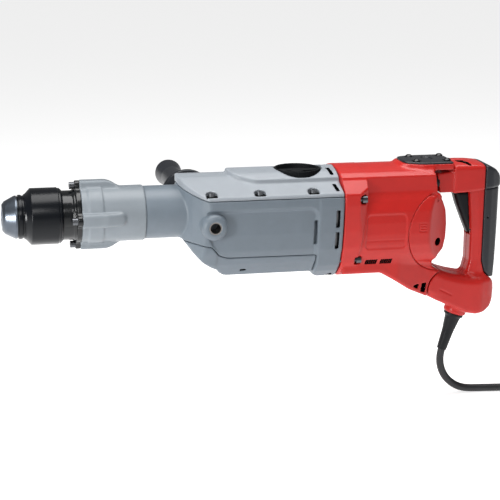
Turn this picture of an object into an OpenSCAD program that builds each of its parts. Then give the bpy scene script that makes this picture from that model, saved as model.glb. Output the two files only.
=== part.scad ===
/* [Tool holder] */
// Radius of the bore that takes the tool shank
tool_bore_r = 9.05; // [9.0:0.05:9.1]
// Outer radius of the locking sleeve
sleeve_r = 33.5; // [33:0.5:35]
// Travel of the locking sleeve when it is pulled back
sleeve_travel = 7; // [5:0.5:7]

/* [Barrel] */
// Outer radius of the front housing
front_r = 33.1; // [32.5:0.1:34]
// Outer radius of the clamping neck, behind the front housing
neck_r = 31.6; // [31:0.1:32]
// Radius of the circle of flange screws
screw_circle = 35.5; // [35:0.5:36]

/* [Gear housing] */
// Half of the width of the gear housing at its top edge
case_hw = 57; // [56.5:0.5:57.5]
// Thickness of the cast walls
case_wall = 4; // [3.5:0.5:4]
// Radius of the thread core in the side handle bosses
boss_hole_r = 6.2; // [6:0.1:6.4]
// Radius of the mode selector
knob_r = 28.5; // [27:0.5:29]

/* [Motor] */
// Outer radius of the motor housing
motor_r = 52; // [51:0.5:53]

/* [Drive] */
// Throw of the crank
crank_throw = 12; // [11:0.5:12]
// Distance between the pivots of the connecting rod
rod_len = 67; // [66:0.5:68]

/* [Handles] */
// Gap that the damped rear handle can close
handle_gap = 1.8; // [1.6:0.1:2]
// Half of the width of the rear grip
grip_hw = 18; // [17:0.5:19]
// Distance from the drill axis to the end of the side handle
side_reach = 272; // [262:2:282]

/* [Cord] */
// Diameter of the mains cord
cord_d = 9.6; // [9.4:0.1:9.8]
// Diameter of the coil across the middle of its turns
coil_mid_d = 116; // [114:1:118]

/* [Hidden] */
$fn = 48;
fit = 0.05;
gap = 0.3;

// Stations along the drill axis, which is X, with the origin at the middle of the neck
nose_x = -186;
holder_x = -181;
ring_x = -169;
sleeve_x = -161;
sleeve_end = -116;
flange_x = -101;
flange_back = -95;
tube_x = -60;
neck_x = -20;
case_x = 20;
lock_x = sleeve_x + 8 + sleeve_travel;
rear_x = 188;
plate_x = 205;
seam_x = 214;
collar_x = 240;
spine_end = 333.5;
motor_end = 356.5;

// Radii round the drill axis
holder_r = 23;
front_bore_r = 26.5;
tube_r = 25;
cyl_r = 20;
bolt_cavity_r = 15.05;

// Gear housing
boss = [56, -8];
boss_face = 66;
knob_x = 169;
knob_hole_r = 30.5;
cover_screw_xs = [54, 112, 177];
cover_screw_y = 49.5;
split_z = 22;
seam_z = -49;

// Drive, with vertical shafts
motor_z = -28;
crank_x = 125;
jack_x = 80;
wrist_x = crank_x - crank_throw - rod_len;
rod_h = 12;
pinion_r = 6;
crank_gear_r = 34;
spur_z = -55;
spur_r = 22.2;
spur_teeth = 22;
spur_h = 9;

// Motor housing and its top plate
plate_z = 50.5;
plate_h = 3.2;
plate_hw = 28;
plate_screw_xs = [316, 355.5];

// Motor
core_x = 246;
core_len = 54;
comm_x = 308;
motor_bore_r = 46;
cap_c = [350, -30];
cap_r = 52.5;

// Rear handle
rod_r = 5;
top_rods = [-16, 16];
top_rod_z = 28;
low_rod_z = -100;
pivot = [392.5, -37];
trigger_hw = 9;
exit = [379, -147];
exit_tilt = 17;
relief_len = 50;

// Cord
floor_z = -255.2;
coil_c = [562, 72.4];
coil_h = 3 * cord_d;
coil_half = 2 * cord_d;
plug_at = [536, 130.4, -209.3];

// Cross-sections, right half, in [y, z]; each is mirrored about y = 0
case_half = [[case_hw, split_z], [58.5, 10], [57.5, -12], [55, -35], [50, -52], [42, -64], [30, -72], [12, -76]];
rear_half = [[case_hw, split_z], [58.5, 12], [58.5, 0], [56.5, -21], [53, -42], [45, -64], [37, -73],
             [24, -82], [8, -84]];
cover_half = [[0, 36], [30, 29], [case_hw, split_z], [case_hw, 26], [32, 35.8], [14, 43], [0, 45]];
bump_plan = [[80, 0], [82, 9], [86, 17], [92.5, 24.5], [101, 30], [112, 34], [220, 34]];
bump_half = [[0, 40], [31.7, 34], [31.7, 40.5], [18, 47], [0, 50]];
spine_half = [[40, 8], [40, 41.5], [30, 45.5], [15, 48.9], [0, 50]];

// Outlines from the side, in [x, z]
case_side = [[26, -30], [35, -44], [45, -54], [55, -61.5], [66, -68], [70, -76], [rear_x, -76], [192, -84],
             [seam_x, -84], [seam_x, 37], [case_x, 37], [case_x, 25]];
lower_side = [[0, -30], [54, -33.5], [69, seam_z], [rear_x, seam_z], [rear_x, -90], [0, -90]];
arm_side = [[250, -60], [250, -78], [268, -78], [284, -87.5], [306, -102], [331, -115], [332, -94], [346, -84],
            [346.5, -80.5], [338, -73], [336, -62], [320, -60]];
cap_side = [[290, -95], [330, -83], [346, -80], [338, -73], [337, -66], [351, -54], [motor_end, -33],
            [353, -6], [345, 8], [338, 16], [334, 24], [290, 30]];
block_side = [[339.8 + handle_gap, 14], [335 + handle_gap, 37.5], [362, 38.5],
              [362, 49.5], [366, 52], [384, 52], [404, 48], [404, 14]];
column_side = [[390, 16], [404, 16], [404, 12], [406, 12], [406, -80], [410, -91],
               [414, -100], [380, -100], [386, -86], [390, -62]];
foot_side = [[331.5 + handle_gap, -115.5], [332.5 + handle_gap, -96], [347 + handle_gap, -85],
             [364, -90], [380, -92], [392, -86], [419, -99], [424.5, -104],
             [427.5, -112], [425.5, -126], [419, -136], [410.5, -141.5], [399, -143], [382, -143]];
rubber_side = [[406, 12], [430, 12], [428, -40], [425, -98], [417, -98.2], [410, -91], [406, -80]];
cap_top_side = [[404, 12.5], [404, 48.5], [412, 45.5], [424, 37], [430.5, 27], [430.5, 12.5]];
trigger_side = [[368.5, 13.5], [396, 13.5], [396, -36], [394, -42], [389.2, -40]];

// Outline from above, in [x, y], of the front of the gear housing
case_plan = [[case_x, 0], [22, 14], [30, 32], [40, 47], [50, 57], [62, 59], [seam_x, 59]];

// Cord route where it is not coiled, from the end of the strain relief to the coil
route = [[364.4, 0, -194.8], [362.5, 0, -207.5], [364.5, 0, -220.5], [370.5, 0, -232.5], [380, 0, -242],
         [392, -0.5, -248.5], [405.5, -1, -250.4], [424, -3, -250.4], [446, -6, -250.4], [470, -7, -250.4],
         [495, -5, -250.4], [514, -3.4, -250.4], [528.4, -2, -250.4]];

// Shared shapes

function mirrored(half) = concat(half, [for (i = [len(half) - 1:-1:0]) if (half[i][0] > 0)
                                            [-half[i][0], half[i][1]]]);

// A ring or a disc along X, from x to x + len
module along_x(x, len, r, hole = 0, y = 0, z = 0) {
    translate([x, y, z]) rotate([0, 90, 0]) difference() {
        cylinder(r = r, h = len);
        if (hole > 0) translate([0, 0, -1]) cylinder(r = hole, h = len + 2);
    }
}

// A solid of revolution round the drill axis from [x, r] points
module turned_x(points) {
    rotate([0, 90, 0]) rotate_extrude() polygon([for (p = points) [p[1], p[0]]]);
}

// An outline seen from the side, extruded to both sides of the middle plane
module slab(side, half_w) {
    rotate([90, 0, 0]) linear_extrude(2 * half_w, center = true) polygon(side);
}

// A mirrored section extruded along X
module beam(half, x0, x1) {
    translate([x0, 0, 0]) rotate([90, 0, 90]) linear_extrude(x1 - x0) polygon(mirrored(half));
}

module both_sides() {
    for (side = [0, 1]) mirror([0, side, 0]) children();
}

// A toothed wheel, with teeth standing on its root circle
module wheel(r, h, teeth, tooth) {
    cylinder(r = r - tooth, h = h);
    for (i = [0:teeth - 1]) rotate([0, 0, i * 360 / teeth])
        translate([r - tooth - 0.5, -r * 0.7 / teeth * 2, 0]) cube([tooth + 0.4, r * 0.7 / teeth * 4, h]);
}

// Tool holder group

module dust_cap() {
    color("dimgray") turned_x([[nose_x, 10], [nose_x, 15], [nose_x + 2, 18.5], [nose_x + 8, 23],
        [ring_x - 3, 25.6], [ring_x, 25.6], [ring_x, 13.5], [holder_x, 13.5], [holder_x, 10]]);
}

module front_ring() {
    color("dimgray") along_x(ring_x, sleeve_x - ring_x, 26, 13.5);
}

module tool_holder() {
    color("silver") difference() {
        turned_x([[holder_x, tool_bore_r], [holder_x, 13.5], [sleeve_x, 13.5], [sleeve_x, 17], [-119, 17],
            [-119, holder_r], [tube_x, holder_r], [tube_x, bolt_cavity_r], [-118, bolt_cavity_r],
            [-118, tool_bore_r]]);
        for (side = [0, 180]) rotate([side, 0, 0]) translate([lock_x, -3.2, 8]) cube([14.6, 6.4, 12]);
    }
}

module lock_roller(side) {
    color("gainsboro") along_x(lock_x + gap, 14, 3, 0, 0, side * 12.6);
}

module cylinder_tube() {
    color("silver") along_x(tube_x, 142, tube_r, cyl_r);
}

module spindle_gear() {
    color("gray") difference() {
        translate([62, 0, 0]) rotate([0, 90, 0]) wheel(33, 8.5, 32, 2);
        along_x(61, 11, tube_r);
    }
}

module chuck_sleeve() {
    inner = sleeve_r - 3.9;
    color("black") turned_x([[sleeve_x + gap, 17 + gap], [sleeve_x + gap, 26], [-153, sleeve_r],
        [-120, sleeve_r], [sleeve_end, inner + 1.6], [sleeve_end, inner], [-155, inner], [-155, 17 + gap]]);
}

module sleeve_spring() {
    turns = 6;
    wire = 1.3;
    color("gainsboro") for (i = [0:turns]) translate([-153.4 + i * 5.4, 0, 0])
        rotate([0, 90, 0]) rotate_extrude() translate([21.5, 0]) circle(r = wire, $fn = 16);
}

// Hammer mechanism

module impact_bolt() {
    r = bolt_cavity_r - fit;
    color("silver") turned_x([[-117.8, 0], [-117.8, 8.5], [-112, 8.5], [-110, r], [-82, r], [-80, 10], [-66, 10],
        [-66, 0]]);
}

module ram() {
    r = cyl_r - fit;
    color("silver") turned_x([[-45, 0], [-45, 9], [-44, 9.9], [-34, 9.9], [-34, r], [3, r], [3, 0]]);
}

module piston() {
    color("lightgray") difference() {
        along_x(wrist_x - 24, 36, cyl_r - fit);
        along_x(wrist_x - 15, 40, 14);
        translate([wrist_x, 0, -30]) cylinder(r = 4.5, h = 60);
    }
}

module wrist_pin() {
    color("silver") translate([wrist_x, 0, -18]) cylinder(r = 4.5, h = 36);
}

module con_rod() {
    color("gray") difference() {
        union() {
            translate([wrist_x, 0, -rod_h / 2]) cylinder(r = 8.5, h = rod_h);
            translate([wrist_x + rod_len, 0, -rod_h / 2]) cylinder(r = 12, h = rod_h);
            translate([wrist_x, -4, -rod_h / 3]) cube([rod_len, 8, rod_h * 2 / 3]);
        }
        translate([wrist_x, 0, -10]) cylinder(r = 4.5 + fit, h = 20);
        translate([wrist_x + rod_len, 0, -10]) cylinder(r = 6.3, h = 20);
    }
}

module crankshaft() {
    color("silver") {
        translate([crank_x, 0, -63]) cylinder(r = 10, h = 45);
        translate([crank_x, 0, -19]) cylinder(r = 20, h = 9.5);
        translate([crank_x - crank_throw, 0, -10]) cylinder(r = 6, h = 3.6);
    }
}

module crank_gear() {
    color("gray") translate([crank_x, 0, 0]) difference() {
        union() {
            translate([0, 0, -44.5]) cylinder(r = crank_gear_r, h = 7);
            for (i = [0:35]) rotate([0, 0, 10 * i]) translate([26, -1.2, -38])
                cube([crank_gear_r - 26.4, 2.4, 3.4]);
            translate([0, 0, spur_z]) wheel(spur_r, spur_h, spur_teeth, 2);
            translate([0, 0, -50]) cylinder(r = 16, h = 7);
        }
        translate([0, 0, -70]) cylinder(r = 10, h = 60);
    }
}

module jack_shaft() {
    color("silver") translate([jack_x, 0, 0]) {
        translate([0, 0, -63]) cylinder(r = 6, h = 24);
        translate([0, 0, -40]) wheel(8.4, 9, 8, 1.6);
    }
}

module jack_gear() {
    color("gray") translate([jack_x, 0, spur_z]) difference() {
        wheel(spur_r, spur_h, spur_teeth, 2);
        translate([0, 0, -1]) cylinder(r = 6, h = spur_h + 2);
    }
}

// Barrel

module lobes(x0, x1, r, angles) {
    for (a = angles) rotate([a, 0, 0]) along_x(x0, x1 - x0, r, 0, 0, screw_circle - 0.5);
}

module flange_holes(x0, x1, r) {
    for (a = [0:90:270]) rotate([a, 0, 0]) along_x(x0, x1 - x0, r, 0, 0, screw_circle);
}

module retainer_flange() {
    color("black") difference() {
        union() {
            along_x(sleeve_end - 1.5, flange_back - sleeve_end + 1.5, sleeve_r - 4.3);
            along_x(flange_x, flange_back - flange_x, front_r + 0.4);
            lobes(flange_x, flange_back, 6.3, [0:90:270]);
        }
        along_x(-130, 60, holder_r + gap);
        flange_holes(-102, -90, 2.6);
    }
}

module flange_screws() {
    color("dimgray") difference() {
        union() {
            flange_holes(flange_x - 6, flange_x, 4.2);
            flange_holes(flange_x - 1, -78, 2.5);
        }
        for (a = [0:90:270]) rotate([a, 0, 0]) translate([flange_x - 7, 0, screw_circle]) rotate([0, 90, 0])
            cylinder(r = 2.3, h = 4, $fn = 6);
    }
}

module front_housing() {
    color("lightgray") difference() {
        union() {
            along_x(flange_back, neck_x - flange_back, front_r);
            lobes(flange_back, -63, 6.3, [0, 180]);
            lobes(flange_back, -50, 7.6, [90, 270]);
        }
        along_x(-100, 90, front_bore_r);
        flange_holes(-100, -77, 2.5);
    }
}

module spindle_bearings() {
    color("gainsboro") {
        along_x(-93, 16, front_bore_r, holder_r + fit);
        along_x(34, 12, 31, tube_r + fit);
    }
}

// Gear housing

function inset(half) = [for (p = half) [max(p[0] - case_wall - 0.8, 0), p[1] + (p[1] < -50 ? case_wall : 0)]];

module case_block() {
    intersection() {
        slab(case_side, 60);
        union() {
            beam(concat([[0, 36], [30, 29]], case_half), case_x, rear_x);
            beam(concat([[0, 36], [30, 29]], rear_half), rear_x, seam_x);
        }
        translate([0, 0, -90]) linear_extrude(140) polygon(mirrored_plan(case_plan));
    }
}

function mirrored_plan(plan) = concat(plan, [for (i = [len(plan) - 1:-1:1]) [plan[i][0], -plan[i][1]]]);

module case_cavity() {
    intersection() {
        translate([case_wall, 0, 0]) slab([for (p = case_side) [p[0], p[1] + (p[1] < 0 ? case_wall : 0)]], 60);
        beam(concat([[0, 40], [30, 40], [case_hw - 5, 40]], inset(case_half)), 46, seam_x + 1);
    }
}

module gear_housing() {
    color("slategray") difference() {
        union() {
            difference() {
                union() {
                    case_block();
                    both_sides() translate([boss[0], 50, boss[1]]) rotate([-90, 0, 0])
                        cylinder(r1 = 17, r2 = 12, h = boss_face - 50);
                }
                case_cavity();
                slab(lower_side, 70);
            }
            along_x(neck_x, 66, neck_r);
            both_sides() translate([boss[0], 44, boss[1]]) rotate([-90, 0, 0]) cylinder(r = 12, h = 10);
            at_cover_screws() translate([0, 0, 8]) cylinder(r = 5.5, h = 13);
        }
        along_x(-30, 70, 27);
        along_x(34, 20, 31);
        both_sides() translate([boss[0], 40, boss[1]]) rotate([-90, 0, 0]) cylinder(r = 9, h = 40);
        at_cover_screws() cylinder(r = 2.4, h = 40);
        both_sides() housing_screw_places() along_x(-36, 30, 2.4);
    }
}

module boss_inserts() {
    color("silver") both_sides() translate([boss[0], 44, boss[1]]) rotate([-90, 0, 0]) difference() {
        cylinder(r = 9, h = boss_face - 44);
        translate([0, 0, -1]) cylinder(r = boss_hole_r, h = 30);
    }
}

module lower_cover() {
    color("slategray") difference() {
        intersection() {
            case_block();
            slab(lower_side, 70);
        }
        case_cavity();
        along_x(-30, 90, neck_r);
    }
}

module cover_solid() {
    intersection() {
        beam(cover_half, case_x, seam_x);
        translate([0, 0, -90]) linear_extrude(160) polygon(mirrored_plan(case_plan));
    }
    intersection() {
        beam(bump_half, 82, seam_x);
        linear_extrude(60) polygon(mirrored_plan(bump_plan));
    }
}

module top_cover() {
    color("silver") difference() {
        union() {
            difference() {
                cover_solid();
                beam([[0, 28], [42, 20], [42, 28.4], [29, 32.5], [12, 37], [0, 38.5]], 50, seam_x - 4);
            }
            translate([knob_x, 0, 30]) cylinder(r = knob_hole_r + 0.8, h = 9.3);
        }
        translate([knob_x, 0, 35]) cylinder(r = knob_hole_r, h = 40);
        translate([knob_x, 0, 20]) cylinder(r = 6 + fit, h = 20);
        at_cover_screws() translate([0, 0, 27]) cylinder(r = 5.5, h = 20);
        at_cover_screws() cylinder(r = 2.5, h = 40);
    }
}

module at_cover_screws() {
    both_sides() for (x = cover_screw_xs) translate([x, cover_screw_y, 0]) children();
}

module cover_screws() {
    color("dimgray") at_cover_screws() {
        difference() {
            translate([0, 0, 27]) cylinder(r = 4.2, h = 4);
            translate([0, 0, 29]) cylinder(r = 2, h = 4, $fn = 6);
        }
        translate([0, 0, 12]) cylinder(r = 2.4, h = 16);
    }
}

module selector_knob() {
    color("black") translate([knob_x, 0, 0]) {
        difference() {
            translate([0, 0, 35 + gap]) cylinder(r = knob_r, h = 12.6);
            translate([0, 0, 41]) cylinder(r = knob_r - 3, h = 20);
        }
        translate([-24, -4, 40]) cube([48, 8, 7]);
        translate([0, 0, 22]) cylinder(r = 6, h = 14);
    }
}

// Side handle, on the far side

module side_handle_stud() {
    color("silver") translate([boss[0], 52, boss[1]]) rotate([-90, 0, 0]) cylinder(r = boss_hole_r, h = 60);
}

module side_handle_grip() {
    start = boss_face + gap;
    color("black") translate([boss[0], 0, boss[1]]) difference() {
        rotate([-90, 0, 0]) rotate_extrude() polygon([[0, start], [13, start], [12, start + 12], [14, 118],
            [32.4, 122], [33, 127], [20, 132], [15, 143], [15.5, 190], [14, 236], [17.5, 254], [18.3, 263],
            [16, side_reach - 1], [10, side_reach], [0, side_reach]]);
        rotate([-90, 0, 0]) cylinder(r = boss_hole_r, h = 112);
    }
}

// Drive supports

module gear_frame() {
    color("lightgray") difference() {
        union() {
            translate([74, -28, -65]) cube([76, 56, 5]);
            translate([90, -7, -71.8]) cube([50, 14, 8]);
            translate([jack_x, 0, -65]) cylinder(r = 14, h = 7.5);
            translate([crank_x, 0, -65]) cylinder(r = 19, h = 7.5);
            translate([108, -50, -31]) cube([37, 100, 8]);
        }
        translate([jack_x, 0, -63]) cylinder(r = 10, h = 10);
        translate([crank_x, 0, -63]) cylinder(r = 15, h = 10);
        translate([crank_x, 0, -32]) cylinder(r = 15, h = 10);
        translate([60, -20, -70]) cube([11, 40, 15]);
    }
}

module shaft_bearings() {
    color("gainsboro") {
        translate([jack_x, 0, -63]) washer(10, 6 + fit, 5);
        translate([crank_x, 0, -63]) washer(15, 10 + fit, 5);
        translate([crank_x, 0, -31]) washer(15, 10 + fit, 8);
    }
}

module washer(r, hole, h) {
    difference() {
        cylinder(r = r, h = h);
        translate([0, 0, -1]) cylinder(r = hole, h = h + 2);
    }
}

module bearing_plate() {
    color("lightgray") difference() {
        beam([[50, 20], [51, 0], [47, -40], [36, -58], [22, -66]], plate_x, seam_x - 0.5);
        along_x(plate_x - 1, 12, 16, 0, 0, motor_z);
    }
}

// Motor

module motor_bearings() {
    color("gainsboro") {
        along_x(plate_x, 8, 16, 8 + fit, 0, motor_z);
        along_x(334, 9, 13, 6 + fit, 0, motor_z);
    }
}

module armature_shaft() {
    color("silver") {
        along_x(152, 8, pinion_r, 0, 0, motor_z);
        along_x(160, 84, 8, 0, 0, motor_z);
        along_x(core_x - 2, 99, 6, 0, 0, motor_z);
    }
}

module armature_core() {
    color("gray") difference() {
        along_x(core_x, core_len, 26, 6, 0, motor_z);
        for (a = [0:30:330]) translate([core_x - 1, 0, motor_z]) rotate([a, 0, 0])
            translate([0, -1.2, 20]) cube([core_len + 2, 2.4, 10]);
    }
}

module commutator() {
    color("peru") along_x(comm_x, 20, 16, 6, 0, motor_z);
}

module fan() {
    color("dimgray") translate([220, 0, motor_z]) rotate([0, 90, 0]) difference() {
        union() {
            cylinder(r = 40, h = 2.5);
            cylinder(r = 14, h = 14);
            for (a = [0:30:330]) rotate([0, 0, a]) translate([12, -1, 0]) cube([27.5, 2, 13]);
        }
        translate([0, 0, -1]) cylinder(r = 8, h = 20);
    }
}

module stator_core() {
    color("gray") along_x(core_x + 2, core_len - 6, motor_bore_r - 0.1, 34, 0, motor_z);
}

module field_coils() {
    color("orangered") both_sides() intersection() {
        along_x(core_x - 6, core_len + 12, 33.8, 27, 0, motor_z);
        translate([core_x - 7, 8, motor_z - 30]) cube([core_len + 14, 40, 60]);
    }
}

module brush_holders() {
    color("black") both_sides() translate([comm_x + 10, 17.5, motor_z]) rotate([-90, 0, 0]) difference() {
        cylinder(r = 7, h = 22);
        translate([0, 0, -1]) cylinder(r = 4.5, h = 24);
    }
}

module carbon_brushes() {
    color("darkslategray") both_sides() translate([comm_x + 10, 16 + gap, motor_z]) rotate([-90, 0, 0])
        cylinder(r = 4.5, h = 18);
}

module motor_block() {
    intersection() {
        beam(concat([[0, 50], [18, 47.5], [34, 42], [40, 40], [50, 38]], rear_half), seam_x, collar_x);
        slab([[seam_x, 60], [collar_x, 60], [collar_x, 30], [collar_x - 4, 10], [collar_x - 6.5, -55],
              [collar_x - 6.5, -64], [collar_x - 9, -90], [seam_x, -90]], 70);
    }
    along_x(seam_x, 337.4 - seam_x, motor_r, 0, 0, motor_z);
    intersection() {
        beam(spine_half, seam_x, spine_end + 8);
        slab([[200, 60], [spine_end, 60], [spine_end, 44], [spine_end + 7.5, 8], [200, 8]], 60);
    }
    slab(arm_side, 36);
    translate([296, -plate_hw, 45.5]) cube([64, 2 * plate_hw, plate_z - 45.5]);
}

module motor_housing() {
    color("firebrick") difference() {
        motor_block();
        translate([cap_c[0], 60, cap_c[1]]) rotate([90, 0, 0]) cylinder(r = cap_r + gap, h = 120);
        along_x(seam_x - 1, 150, motor_bore_r, 0, 0, motor_z);
        translate([seam_x - 1, -32, 12]) cube([60, 64, 28]);
        both_sides() housing_screw_places() along_x(0, 60, 5, 0, 0, 0);
        both_sides() housing_screw_places() along_x(-60, 61, 2.5, 0, 0, 0);
        for (y = top_rods) along_x(312, 40, rod_r, 0, y, top_rod_z);
        along_x(320, 30, rod_r, 0, 0, low_rod_z);
        at_plate_screws() translate([0, 0, -6]) cylinder(r = 2.5, h = 10);
    }
}

module rear_cap() {
    color("firebrick") difference() {
        intersection() {
            translate([cap_c[0], 52, cap_c[1]]) rotate([90, 0, 0]) cylinder(r = cap_r, h = 104);
            slab(cap_side, 60);
            union() {
                along_x(280, 80, motor_r, 0, 0, motor_z);
                slab([[300, -60], [350, -60], [350, -84], [300, -84]], 36);
            }
            translate([0, 0, -100]) linear_extrude(200) polygon(mirrored_plan([[280, 0], [280, 60], [322, 53],
                [motor_end, 24]]));
        }
        difference() {
            along_x(270, 76, 41, 0, 0, motor_z);
            along_x(334, 20, 17, 0, 0, motor_z);
        }
        along_x(270, 73.5, 13, 0, 0, motor_z);
        both_sides() translate([337.6, 30, -42]) rotate([-90, 0, 0]) cylinder(r = 4, h = 40);
    }
}

module housing_screw_places() {
    translate([collar_x - 3.5, 53, 17]) children();
    translate([collar_x - 6.5, 43, -59.5]) children();
}

module housing_screws() {
    color("dimgray") both_sides() housing_screw_places() difference() {
        union() {
            along_x(0, 6, 4.5);
            along_x(-34, 35, 2.4);
        }
        translate([3, 0, 0]) rotate([0, 90, 0]) cylinder(r = 2.3, h = 4, $fn = 6);
    }
}

module at_plate_screws() {
    both_sides() for (x = plate_screw_xs) translate([x, 15, plate_z]) children();
}

module top_plate() {
    color("black") difference() {
        translate([300, -plate_hw + 1, plate_z]) cube([60, 2 * plate_hw - 2, plate_h]);
        at_plate_screws() translate([0, 0, -1]) cylinder(r = 2.5, h = 10);
    }
}

module plate_screws() {
    color("black") at_plate_screws() {
        translate([0, 0, plate_h]) cylinder(r = 4.6, h = 2.6);
        translate([0, 0, -5]) cylinder(r = 2.4, h = plate_h + 5.5);
    }
}

// Rear handle

module guide_rods() {
    color("silver") {
        for (y = top_rods) along_x(312, 44, rod_r, 0, y, top_rod_z);
        along_x(320, 30, rod_r, 0, 0, low_rod_z);
    }
}

module rod_bores() {
    for (y = top_rods) along_x(330, 29, rod_r + fit, 0, y, top_rod_z);
    for (y = top_rods) along_x(330, 14, 9, 0, y, top_rod_z);
    along_x(330, 25, rod_r + fit, 0, 0, low_rod_z);
}

module damper_rings() {
    color("dimgray") for (y = top_rods) along_x(339.6, 4.2, 8.8, rod_r + 0.1, y, top_rod_z);
}

module handle_solid() {
    difference() {
        union() {
            slab(block_side, 27);
            slab(column_side, grip_hw);
            slab(foot_side, 27);
            translate([exit[0], 0, exit[1]]) rotate([0, exit_tilt, 0]) cylinder(r = 14, h = 14);
        }
        rod_bores();
        translate([366, -20, 20]) cube([34, 40, 25]);
        translate([364, -trigger_hw - 0.4, -47]) cube([41, 2 * trigger_hw + 0.8, 65.5]);
        translate([pivot[0], 30, pivot[1]]) rotate([90, 0, 0]) cylinder(r = 2, h = 60);
        translate([352, -16, -130]) cube([56, 32, 32]);
    }
}

module handle_half(side) {
    color("firebrick") intersection() {
        handle_solid();
        translate([300, side > 0 ? 0 : -60, -200]) cube([200, 60, 300]);
    }
}

module grip_cap() {
    color("black") slab(cap_top_side, 25);
}

module rubber_grip() {
    color("black") slab(rubber_side, grip_hw);
}

module trigger() {
    color("black") difference() {
        slab(trigger_side, trigger_hw);
        translate([pivot[0], 30, pivot[1]]) rotate([90, 0, 0]) cylinder(r = 2 + fit, h = 60);
    }
}

module trigger_pin() {
    color("silver") translate([pivot[0], 12.5, pivot[1]]) rotate([90, 0, 0]) cylinder(r = 2, h = 25);
}

module switch_body() {
    color("dimgray") translate([368, -12, 22]) cube([30, 24, 22]);
}

// Cord

module strain_relief() {
    color("black") translate([exit[0], 0, exit[1]]) rotate([0, exit_tilt + 180, 0])
        rotate_extrude() polygon([[0, 0], [11.5, 0], [10, 4], [8, 14], [6.9, 30], [6, relief_len], [0, relief_len]]);
}

// A Catmull-Rom curve through the route
function on_route(i, t) = let (a = route[max(i - 1, 0)], b = route[i], c = route[i + 1],
                               d = route[min(i + 2, len(route) - 1)])
    b + 0.5 * t * (c - a) + t * t * (a - 2.5 * b + 2 * c - 0.5 * d)
      + t * t * t * (1.5 * b - 0.5 * a - 1.5 * c + 0.5 * d);

function unit(v) = v / norm(v);

module cord_run() {
    sides = 10;
    path = concat([for (i = [0:len(route) - 2]) for (t = [0, 0.5]) on_route(i, t)], [route[len(route) - 1]]);
    n = len(path);
    rings = [for (i = [0:n - 1]) let (
        d = unit(path[min(i + 1, n - 1)] - path[max(i - 1, 0)]),
        u = unit(cross(d, [0, 1, 0])),
        v = cross(u, d)) [for (k = [0:sides - 1])
            path[i] + cord_d / 2 * (cos(360 * k / sides) * u + sin(360 * k / sides) * v)]];
    color("dimgray") polyhedron(
        points = [for (ring = rings) for (p = ring) p],
        faces = concat(
            [[for (k = [0:sides - 1]) k]],
            [for (i = [0:n - 2]) for (k = [0:sides - 1])
                [i * sides + k, (i + 1) * sides + k, (i + 1) * sides + (k + 1) % sides, i * sides + (k + 1) % sides]],
            [[for (k = [sides - 1:-1:0]) (n - 1) * sides + k]]));
}

module cord_coil() {
    color("dimgray") translate([coil_c[0], coil_c[1], floor_z]) rotate_extrude()
        translate([coil_mid_d / 2 - coil_half, 0]) square([2 * coil_half, coil_h]);
}

module plug() {
    color("black") translate(plug_at) rotate([0, 90, 0]) {
        cylinder(r = 17, h = 34);
        translate([0, 0, 34]) cylinder(r1 = 12, r2 = 6, h = 20);
        for (y = [-9.5, 9.5]) translate([0, y, -19]) cylinder(r = 2.4, h = 20);
    }
}

module lock_roller_top() { lock_roller(1); }

module lock_roller_bottom() { lock_roller(-1); }

module handle_left() { handle_half(1); }

module handle_right() { handle_half(-1); }

dust_cap();
front_ring();
tool_holder();
cylinder_tube();
spindle_gear();
chuck_sleeve();
sleeve_spring();
lock_roller_top();
lock_roller_bottom();
impact_bolt();
ram();
piston();
wrist_pin();
con_rod();
retainer_flange();
flange_screws();
front_housing();
spindle_bearings();
gear_housing();
lower_cover();
top_cover();
cover_screws();
boss_inserts();
selector_knob();
side_handle_stud();
side_handle_grip();
crankshaft();
crank_gear();
jack_shaft();
jack_gear();
gear_frame();
shaft_bearings();
bearing_plate();
motor_bearings();
armature_shaft();
armature_core();
commutator();
fan();
stator_core();
field_coils();
brush_holders();
carbon_brushes();
motor_housing();
rear_cap();
housing_screws();
top_plate();
plate_screws();
guide_rods();
damper_rings();
handle_left();
handle_right();
grip_cap();
rubber_grip();
trigger();
trigger_pin();
switch_body();
strain_relief();
cord_run();
cord_coil();
plug();
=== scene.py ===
"""Looks of a corded rotary hammer: moulded shells, castings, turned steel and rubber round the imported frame.

Shapes are worked out in millimetres as distance fields, and are turned into metres when their meshes
are made.
X runs along the drill axis with the nose towards -X, Z is up, and the far side is +Y.
"""
import math

import bpy
import numpy as np
from mathutils import Matrix, Vector


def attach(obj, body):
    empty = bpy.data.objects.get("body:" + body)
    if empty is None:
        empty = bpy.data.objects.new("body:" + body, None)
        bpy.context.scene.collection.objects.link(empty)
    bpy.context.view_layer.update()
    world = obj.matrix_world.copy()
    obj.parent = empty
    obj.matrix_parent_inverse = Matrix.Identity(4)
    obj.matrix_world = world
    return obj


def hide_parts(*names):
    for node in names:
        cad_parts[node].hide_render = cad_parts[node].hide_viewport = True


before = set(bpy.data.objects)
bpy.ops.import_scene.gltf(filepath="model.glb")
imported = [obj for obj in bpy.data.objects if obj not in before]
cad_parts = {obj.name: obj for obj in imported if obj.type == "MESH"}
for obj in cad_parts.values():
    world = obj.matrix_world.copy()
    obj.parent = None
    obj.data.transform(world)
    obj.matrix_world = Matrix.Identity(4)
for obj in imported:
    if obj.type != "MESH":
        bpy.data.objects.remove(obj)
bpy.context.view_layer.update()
MM = 0.001

# Stations along the drill axis
RING_X = -169
SLEEVE_X = -161
FLANGE_X = -101
FLANGE_BACK = -95
NECK_X = -20
REAR_X = 186
SEAM_X = 214
SEAM_GAP = 0.3
CASE_END = SEAM_X - SEAM_GAP
MOTOR_START = SEAM_X + SEAM_GAP
SPINE_END = 333.5
BLOCK_X = 362
CAP_X = 403

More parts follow.
